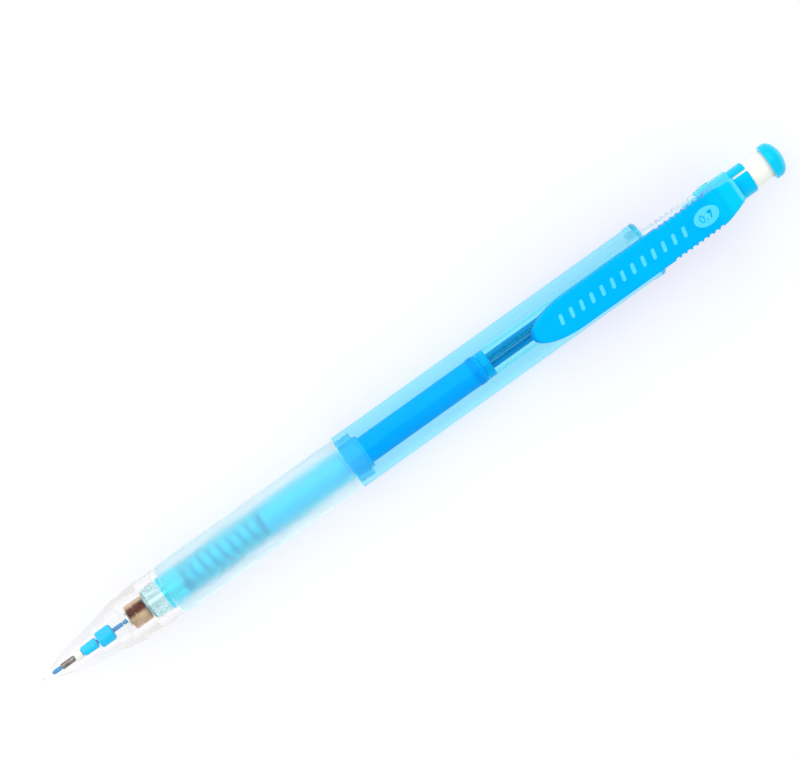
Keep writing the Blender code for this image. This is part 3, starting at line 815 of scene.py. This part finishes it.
def make_clip():
    """Boat-shaped clip with a crowned face, rounded edges and notched sides."""
    stations = []
    # where each span of cross-sections starts, and how far apart they are
    spans = [(CLIP_FRONT, 0.1), (CLIP_FRONT + 1, 0.25), (CLIP_FRONT + 8, 1.0), (NOTCH_START - 0.6, 0.06)]
    spans += [(CLIP_SLOPE, 0.2), (CLIP_REAR, None)]
    for (start, step), (stop, _) in zip(spans, spans[1:]):
        stations += steps_between(start, stop, step)[:-1]
    stations.append(CLIP_REAR)
    sections = []
    turns = [math.pi / 2 * k / 6 for k in range(7)]  # round the face's edge
    for s in stations:
        half, under, top = clip_half_width(s), clip_under(s), clip_top(s)
        edge = min(0.38, half / 2)
        side = [(half - 0.12, under), (half - 0.04, under + 0.04), (half, under + 0.14)]
        side += [(half - edge * (1 - math.cos(a)), top - edge * (1 - math.sin(a))) for a in turns]
        inner = half - edge
        side += [(inner * k / 4, top + CLIP_CROWN * (1 - (k / 4) ** 2)) for k in (3, 2, 1, 0)]
        section = side + [(-y, z) for y, z in reversed(side[:-1])]
        sections.append([place(s, y, z) for y, z in section])
    add_piece("clip_blade", loft(sections), CLIP_BLUE, "clip", crease=32.0)


def print_patch(name, outline, material, lift=0.02, rings=3):
    """Ink on the clip's face: a closed outline of (station, y), which follows the face, lift above it."""
    middle_s = sum(s for s, _ in outline) / len(outline)
    middle_y = sum(y for _, y in outline) / len(outline)

    def ring(share, height):
        made = []
        for s, y in outline:
            s, y = middle_s + (s - middle_s) * share, middle_y + (y - middle_y) * share
            made.append(place(s, y, clip_surface(s, y) + height))
        return made

    layers = [ring(1.0, -0.05)] + [ring(1 - k / (rings + 1), lift) for k in range(rings + 1)]
    add_piece(name, loft(layers), material, "clip")


def pill(s, y, length, width, slant=0.0, steps=8):
    """A bar with round ends, length across the clip and width along it, leaning by slant."""
    outline = []
    for end in (1, -1):
        for k in range(steps + 1):
            a = math.pi * k / steps
            across = end * (length - width) / 2 + end * width / 2 * math.sin(a)
            outline.append((s + end * width / 2 * math.cos(a) + slant * across, y + across))
    return outline


def oval(s, y, half_s, half_y, steps=48):
    return [(s + half_s * math.cos(a), y + half_y * math.sin(a)) for a in circle(steps)]


def make_print():
    """A row of slanted dashes along the clip, and an oval with the lead's size, 0.7."""
    first_dash, dash_pitch = 98.6, 1.95
    for k in range(13):
        dash = pill(first_dash + dash_pitch * k, 0.0, length=1.75, width=0.62, slant=0.22)
        print_patch(f"clip_dash_{k + 1:02d}", dash, PRINT)
    middle = 126.2
    zero = middle - 0.82
    print_patch("size_oval", oval(middle, 0.0, 2.2, 1.5), PRINT, rings=6)
    print_patch("zero_stroke", oval(zero, 0.0, 0.42, 0.66, 32), CLIP_BLUE, lift=0.03)
    print_patch("zero_inside", oval(zero, 0.0, 0.22, 0.46, 32), PRINT, lift=0.04)
    print_patch("point", oval(middle - 0.05, -0.54, 0.13, 0.13, 16), CLIP_BLUE, lift=0.03)
    seven = [(0.32, 0.66), (0.32, 0.45), (0.86, 0.45), (0.46, -0.66), (0.70, -0.66)]
    seven += [(1.16, 0.50), (1.16, 0.66)]
    print_patch("seven_stroke", [(middle + s, y) for s, y in seven], CLIP_BLUE, lift=0.03)


def make_button():
    """Collet button: a guide ring on the pipe's end, and two slits so that its rear grips the eraser."""
    front, rear = ends("knock_button")
    seat, bore, outer = 132.5, 2.38, 2.64
    outline = [(front, GUIDE_BORE), (front, outer - 0.1), (front + 0.2, outer), (rear - 0.2, outer)]
    outline += [(rear, outer - 0.12), (rear, bore), (seat, bore), (seat, GUIDE_BORE)]
    button = add_piece("button_collet", lathe(softened(outline, 0.08)), BUTTON_BLUE, "knock_button")
    slit_front, slit_width, slit_angle = 133.3, 0.62, math.radians(-38)
    length, across = rear + 1.0 - slit_front, 12.0
    shape = bmesh.new()
    bmesh.ops.create_cube(shape, size=MM)
    bmesh.ops.scale(shape, vec=(length, slit_width, across), verts=shape.verts[:])
    bmesh.ops.rotate(shape, verts=shape.verts[:], cent=(0, 0, 0), matrix=Matrix.Rotation(slit_angle, 3, "X"))
    bmesh.ops.translate(shape, verts=shape.verts[:], vec=place(slit_front + length / 2))
    mesh = bpy.data.meshes.new("slit_cutter")
    shape.to_mesh(mesh)
    shape.free()
    cutter = bpy.data.objects.new("slit_cutter", mesh)
    bpy.context.scene.collection.objects.link(cutter)
    cut = button.modifiers.new("slits", "BOOLEAN")
    cut.object = cutter
    bpy.context.view_layer.objects.active = button
    bpy.ops.object.modifier_apply(modifier=cut.name)
    bpy.data.objects.remove(cutter)
    button.data.set_sharp_from_angle(angle=math.radians(CREASE))


def make_eraser():
    front, rear = ends("eraser")
    radius, bevel = 2.28, 0.15
    outline = [(front, 0.0), (front, radius - 0.13), (front + bevel, radius)]
    outline += [(s, radius) for s in steps_between(front + 0.6, rear - 0.6, 0.8)]
    outline += [(rear - bevel, radius), (rear, radius - 0.13), (rear, 0.0)]
    add_piece("eraser_plug", lathe(softened(outline, 0.1)), ERASER, "eraser")


def make_cap():
    """Domed cap with a short skirt and a socket for the eraser's end."""
    front, rear = ends("eraser_cap")
    outer, socket_r, socket_end, dome, steps = 3.0, 2.4, front + 1.0, front + 0.9, 24
    outline = [(socket_end, 0.0), (socket_end, socket_r), (front, socket_r), (front, outer - 0.14)]
    outline += [(front + 0.16, outer)]
    for k in range(steps):
        a = math.pi / 2 * k / steps
        outline.append((dome + (rear - dome) * math.sin(a), outer * math.cos(a)))
    outline.append((rear, 0.0))
    add_piece("cap_dome", lathe(softened(outline, 0.06)), CAP_BLUE, "eraser_cap")


# ---- the studio ----

PENCIL_MIDDLE = 71.0
LEAN = math.radians(10)  # how far the camera leans from straight above towards the pencil's far side
TURN = math.radians(35.55)  # how far the pencil is turned in the picture


def make_floor():
    """Pale acrylic table, 6 m square, that is lit from below, so that shadows on it stay faint."""
    shape = bmesh.new()
    bmesh.ops.create_grid(shape, x_segments=8, y_segments=8, size=3.0)
    mesh = bpy.data.meshes.new("floor")
    shape.to_mesh(mesh)
    shape.free()
    material, tree, shader = start_material("pale_card", "")
    mottle = noise(tree, 30, detail=4.0)
    tree.links.new(blended(tree, mottle, (0.42, 0.42, 0.43), (0.44, 0.44, 0.45)), shader.inputs["Base Color"])
    shader.inputs["Emission Color"].default_value = (0.93, 0.92, 1.0, 1.0)
    shader.inputs["Emission Strength"].default_value = 0.6
    shader.inputs["Roughness"].default_value = 0.9
    shader.inputs["Specular IOR Level"].default_value = 0.1
    mesh.materials.append(material)
    floor = bpy.data.objects.new("floor", mesh)
    bpy.context.scene.collection.objects.link(floor)


def add_softbox(name, towards, distance, size, power, colour):
    """A square lamp at a direction and distance from the pencil's middle, facing it. Metres and watts."""
    light = bpy.data.lights.new(name, "AREA")
    light.shape = "SQUARE"
    light.size = size
    light.energy = power
    light.color = colour
    lamp = bpy.data.objects.new(name, light)
    direction = Vector(towards).normalized()
    lamp.location = place(PENCIL_MIDDLE) + direction * distance
    lamp.rotation_euler = direction.to_track_quat("Z", "Y").to_euler()
    bpy.context.scene.collection.objects.link(lamp)


def make_lights():
    """A pale dome, brightest overhead, and one big softbox on the pencil's far side."""
    world = bpy.data.worlds.new("studio")
    world.use_nodes = True
    nodes, links = world.node_tree.nodes, world.node_tree.links
    where = nodes.new("ShaderNodeTexCoord")
    height = nodes.new("ShaderNodeSeparateXYZ")
    ramp = nodes.new("ShaderNodeValToRGB")
    horizon, overhead = ramp.color_ramp.elements
    horizon.position, horizon.color = 0.0, (0.86, 0.87, 0.92, 1.0)
    overhead.position, overhead.color = 0.7, (0.94, 0.97, 1.0, 1.0)
    links.new(where.outputs["Generated"], height.inputs[0])
    links.new(height.outputs["Z"], ramp.inputs["Fac"])
    links.new(ramp.outputs["Color"], nodes["Background"].inputs["Color"])
    nodes["Background"].inputs["Strength"].default_value = 0.88
    bpy.context.scene.world = world
    add_softbox("key_softbox", (-0.2, 0.8, 1.0), distance=0.9, size=1.1, power=4.2, colour=(1.0, 0.97, 0.90))


def make_camera():
    """Camera at the photo's angle. along and across are the pencil's directions, and towards the camera's."""
    across = Vector((0.0, math.cos(LEAN), -math.sin(LEAN)))
    towards = Vector((0.0, math.sin(LEAN), math.cos(LEAN)))
    along = Vector((1.0, 0.0, 0.0))
    right = along * math.cos(TURN) - across * math.sin(TURN)
    up = along * math.sin(TURN) + across * math.cos(TURN)
    distance, field = 0.6, 0.12552  # field is the width of the view at the pencil
    aside, above = -1.96, 5.89  # the picture's middle, seen from the pencil's middle
    aim = place(PENCIL_MIDDLE) + (aside * right + above * up) * MM
    data = bpy.data.cameras.new("camera")
    data.sensor_width = 36.0
    data.lens = data.sensor_width * distance / field
    data.clip_start, data.clip_end = 0.01, 20.0
    camera = bpy.data.objects.new("camera", data)
    turn = Matrix((right, up, towards)).transposed()
    camera.matrix_world = Matrix.Translation(aim + towards * distance) @ turn.to_4x4()
    bpy.context.scene.collection.objects.link(camera)
    bpy.context.scene.camera = camera


make_nose()
make_nose_insert()
make_clutch()
make_jaws()
make_stem()
make_spring()
make_coupler()
make_pipe()
make_leads()
make_grip_core()
make_grip()
make_collar()
make_barrel()
make_neck()
make_crown()
make_clip()
make_print()
make_button()
make_eraser()
make_cap()
make_floor()
make_lights()
make_camera()
bpy.context.scene.view_settings.view_transform = "Standard"
